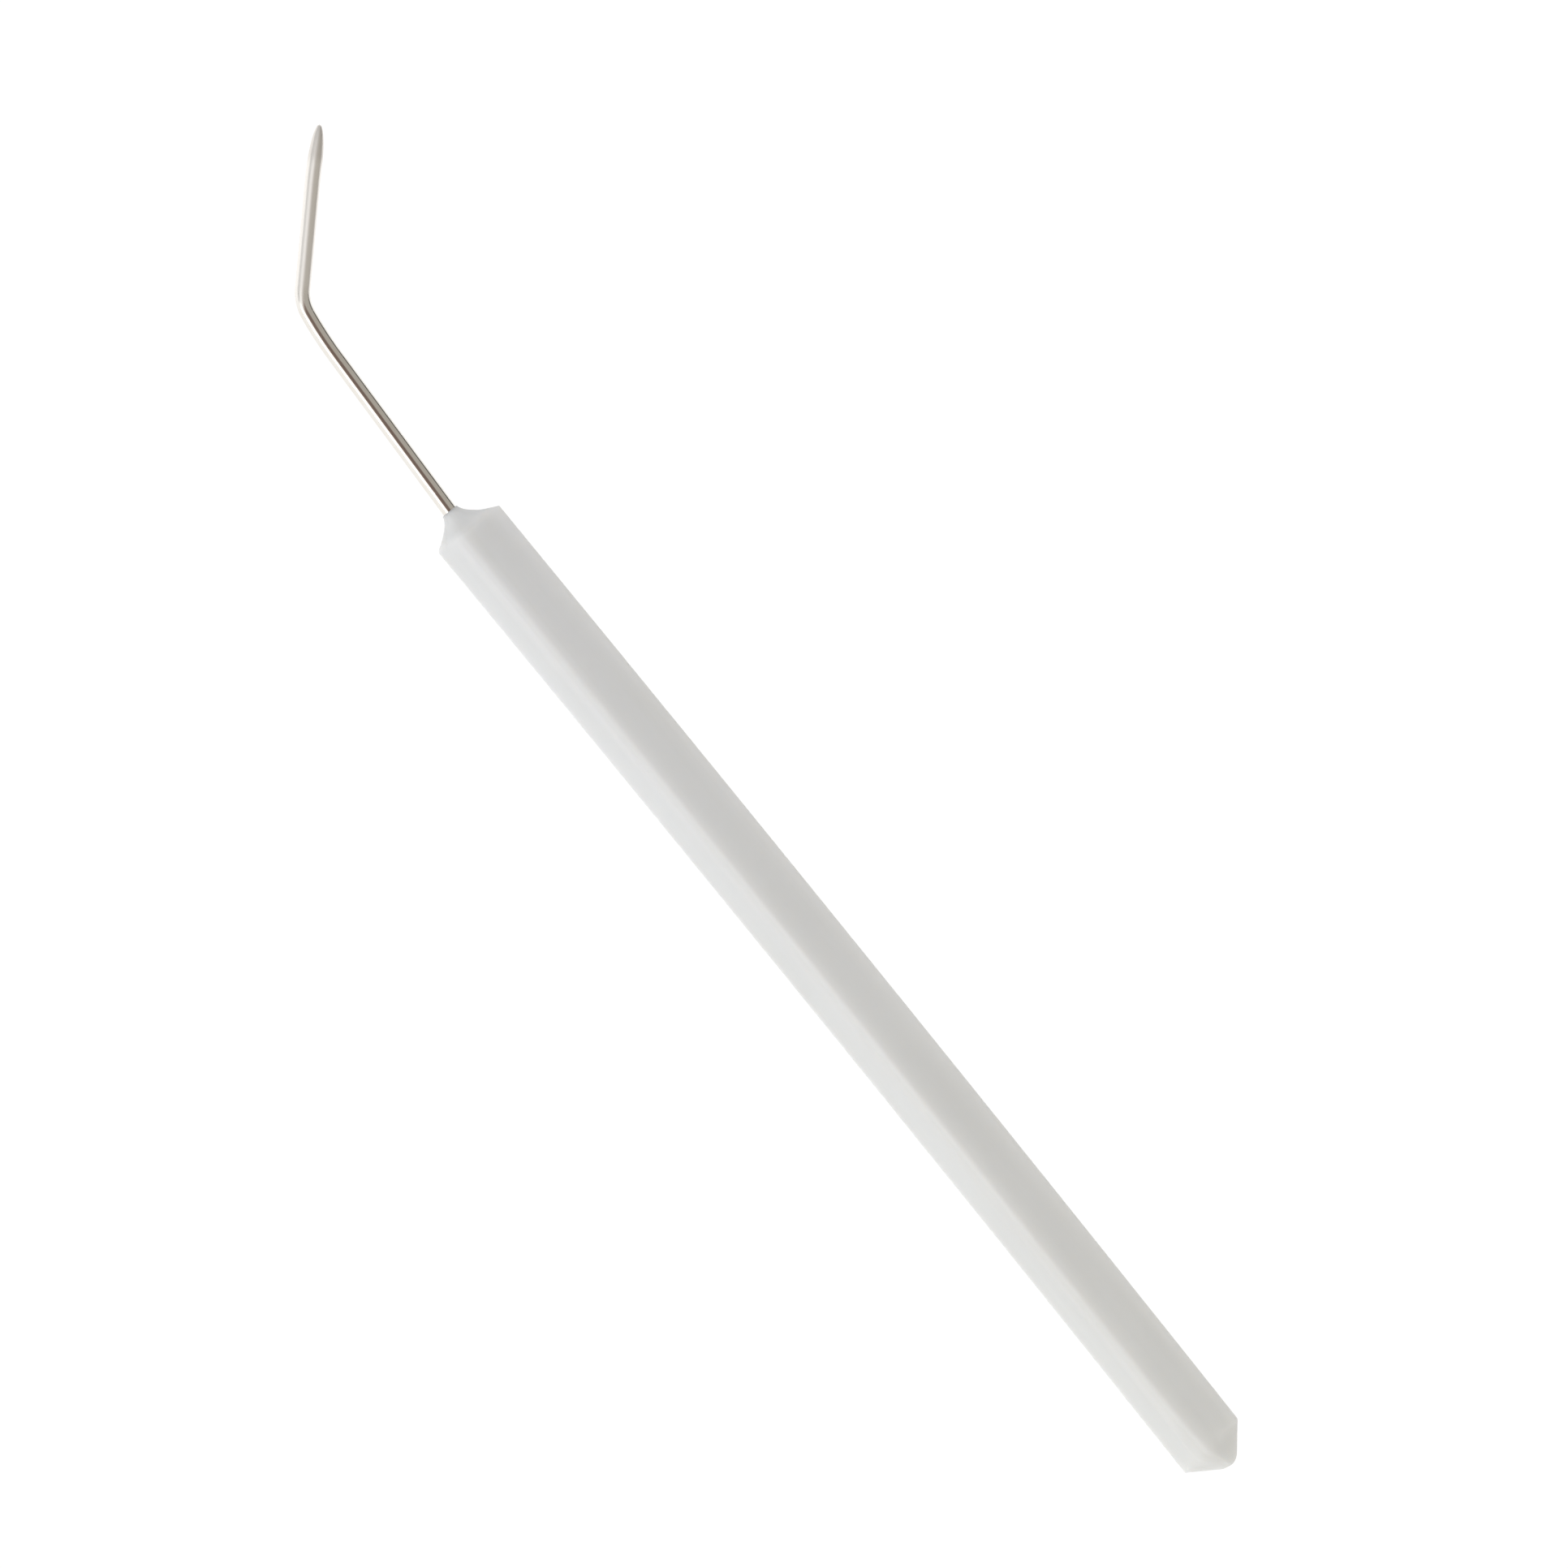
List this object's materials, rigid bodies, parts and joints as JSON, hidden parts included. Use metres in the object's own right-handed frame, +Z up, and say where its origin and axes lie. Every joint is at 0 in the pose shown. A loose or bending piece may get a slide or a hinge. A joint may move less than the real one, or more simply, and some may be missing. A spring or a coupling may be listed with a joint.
{
  "type": "bent-tip probe with a square moulded handle",
  "caption": "Hand-held probe: a thin round polished steel needle, bent once and ground to a point, in a plain square plastic handle with a flared neck and a faceted back end.",
  "frame": {"origin": "on the resting face, under the handle's axis and midway along its body", "axes": "+X from the handle's back end to the needle's tip, +Z up out of the resting face; the needle bends towards -Y"},
  "size_m": [0.1405, 0.016, 0.0051],
  "materials": {
    "polished_steel": "bright polished steel",
    "white_plastic": "semi-matte moulded white plastic, slightly translucent"
  },
  "bodies": {
    "root": {"needle": "polished_steel", "handle": "white_plastic"}
  },
  "joints": []
}
